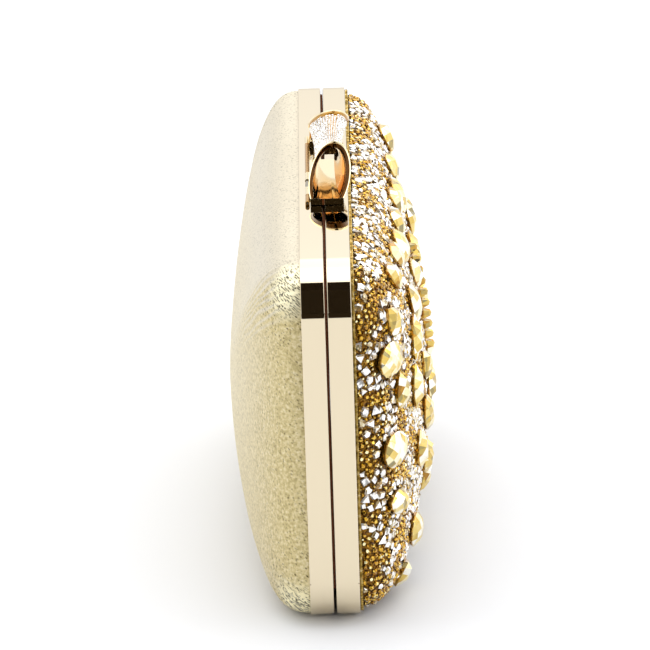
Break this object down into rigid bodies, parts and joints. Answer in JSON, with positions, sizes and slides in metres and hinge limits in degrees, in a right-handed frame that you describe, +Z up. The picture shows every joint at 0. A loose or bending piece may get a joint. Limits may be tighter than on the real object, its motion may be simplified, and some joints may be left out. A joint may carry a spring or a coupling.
{
  "type": "evening bag",
  "caption": "Hard-shell evening bag of two domed halves, one fabric covered and one set with crystals, in a hinged metal frame with a bow-shaped stone-set clasp on top.",
  "frame": {"origin": "middle of the base on the parting line between the two halves, on the surface the bag stands on", "axes": "+X along the bag, +Y towards the fabric half, -Y towards the crystal half, +Z up to the clasp"},
  "size_m": [0.21, 0.0685, 0.1354],
  "materials": {
    "frame_gold": "polished pale gold plate",
    "shell_metal": "formed sheet, satin",
    "cover_fabric": "metallic woven cloth, champagne gold, fine crinkle",
    "lining_fabric": "satin lining, bronze gold",
    "hinge_brass": "satin gold plate",
    "pin_steel": "drawn wire and sprung strip",
    "crystal_layer": "resin bed with small clear and gold crystals",
    "braid": "woven gilt braid",
    "large_stones": "foil-backed cut glass, champagne to amber",
    "bow_gold": "mirror polished warm gold",
    "pave_stones": "clear foil-backed stones set edge to edge"
  },
  "bodies": {
    "back_half": {"back_frame": "frame_gold", "back_shell": "shell_metal", "back_fabric": "cover_fabric", "back_lining": "lining_fabric", "back_hinge_leaf": "hinge_brass", "back_hinge_rivets": "hinge_brass", "hinge_pin": "pin_steel", "clasp_lugs": "frame_gold", "clasp_pin": "pin_steel"},
    "front_half": {"front_frame": "frame_gold", "front_shell": "shell_metal", "crystal_carpet": "crystal_layer", "rim_braid": "braid", "front_lining": "lining_fabric", "front_hinge_leaf": "hinge_brass", "front_hinge_rivets": "hinge_brass", "catch_spring": "pin_steel", "catch_rivets": "hinge_brass", "oval_stones": "large_stones", "navette_stones": "large_stones", "drop_stones": "large_stones", "square_stones": "large_stones"},
    "clasp": {"bow_cuff": "bow_gold", "bow_pave": "pave_stones", "bow_rims": "frame_gold", "foot_plates": "frame_gold", "latch_tooth": "hinge_brass", "clasp_spring": "pin_steel"}
  },
  "joints": [
    {"name": "lid", "type": "hinge", "parent": "back_half", "child": "front_half", "pos_m": [0, 0, 0.0012], "axis": [1, 0, 0], "range_deg": [0, 75], "deforming": ["catch_spring"]},
    {"name": "clasp_tilt", "type": "hinge", "parent": "back_half", "child": "clasp", "pos_m": [0, 0.0052, 0.12083], "axis": [-1, 0, 0], "range_deg": [0, 10], "stiffness_Nm_per_rad": 0.06, "springref_deg": -17.19, "deforming": ["clasp_spring"]}
  ]
}
